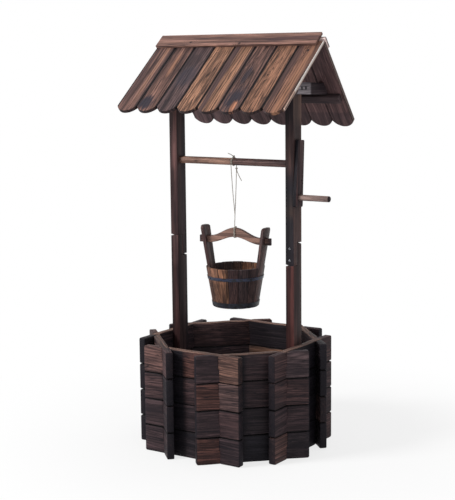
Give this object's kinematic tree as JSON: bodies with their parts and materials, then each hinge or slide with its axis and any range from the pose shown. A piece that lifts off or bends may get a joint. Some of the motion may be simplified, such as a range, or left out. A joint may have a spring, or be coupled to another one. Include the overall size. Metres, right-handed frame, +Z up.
{
  "type": "wishing well planter",
  "caption": "Charred-wood wishing well planter: octagonal cross-halved board base, lapped posts, cranked axle with a staved bucket on twine, and a gabled roof of round-ended boards.",
  "frame": {"origin": "centre of the bounding box at the floor", "axes": "+Z up, X along the axle and the ridge with the crank at +X, -Y the front"},
  "size_m": [0.588, 0.5482, 1.1678],
  "materials": {
    "base_wood": "charred, brushed and oiled",
    "post_wood": "charred, brushed and oiled",
    "axle_wood": "charred, brushed and oiled",
    "arm_wood": "charred and oiled, nearly black",
    "roof_wood": "lightly charred with strong grain",
    "cap_wood": "lightly charred with strong grain",
    "frame_wood": "charred",
    "stave_wood": "charred, brushed and oiled",
    "yoke_wood": "lightly charred",
    "peg_wood": "weathered, pale grain",
    "hoop_metal": "dark painted steel band",
    "twine": "natural twine"
  },
  "bodies": {
    "well": {"course_1_right_board": "base_wood", "course_1_back_right_board": "base_wood", "course_1_back_board": "base_wood", "course_1_back_left_board": "base_wood", "course_1_left_board": "base_wood", "course_1_front_left_board": "base_wood", "course_1_front_board": "base_wood", "course_1_front_right_board": "base_wood", "course_2_right_board": "base_wood", "course_2_back_right_board": "base_wood", "course_2_back_board": "base_wood", "course_2_back_left_board": "base_wood", "course_2_left_board": "base_wood", "course_2_front_left_board": "base_wood", "course_2_front_board": "base_wood", "course_2_front_right_board": "base_wood", "course_3_right_board": "base_wood", "course_3_back_right_board": "base_wood", "course_3_back_board": "base_wood", "course_3_back_left_board": "base_wood", "course_3_left_board": "base_wood", "course_3_front_left_board": "base_wood", "course_3_front_board": "base_wood", "course_3_front_right_board": "base_wood", "course_4_right_board": "base_wood", "course_4_back_right_board": "base_wood", "course_4_back_board": "base_wood", "course_4_back_left_board": "base_wood", "course_4_left_board": "base_wood", "course_4_front_left_board": "base_wood", "course_4_front_board": "base_wood", "course_4_front_right_board": "base_wood", "right_post_lower": "post_wood", "right_post_upper": "post_wood", "left_post_lower": "post_wood", "left_post_upper": "post_wood", "front_roof_boards": "roof_wood", "front_ridge_cap": "cap_wood", "front_batten": "frame_wood", "back_roof_boards": "roof_wood", "back_ridge_cap": "cap_wood", "back_batten": "frame_wood", "right_gable_tie": "frame_wood", "left_gable_tie": "frame_wood"},
    "crank": {"axle": "axle_wood", "crank_arm": "arm_wood", "crank_peg": "peg_wood", "twine_round_axle": "twine"},
    "twine": {"hanging_twine": "twine"},
    "bucket": {"bucket_back_staves": "stave_wood", "bucket_front_staves": "stave_wood", "bucket_right_ear": "stave_wood", "bucket_left_ear": "stave_wood", "bucket_bottom": "stave_wood", "bucket_upper_hoop": "hoop_metal", "bucket_lower_hoop": "hoop_metal", "bucket_yoke": "yoke_wood", "twine_round_yoke": "twine"}
  },
  "joints": [
    {"name": "crank_turn", "type": "hinge", "parent": "well", "child": "crank", "pos_m": [-0.0195, 0, 0.81], "axis": [1, 0, 0], "range_deg": [0, 720]},
    {"name": "bucket_swing", "type": "hinge", "parent": "well", "child": "twine", "pos_m": [-0.0195, 0, 0.81], "axis": [1, 0, 0], "range_deg": [-20, 20]},
    {"name": "bucket_lift", "type": "slide", "parent": "twine", "child": "bucket", "axis": [0, 0, 1], "range_m": [0, 0.15], "deforming": ["hanging_twine"]}
  ],
  "couplings": [
    {"joint": "bucket_lift", "follows": "crank_turn", "m_per_rad": 0.0118}
  ]
}
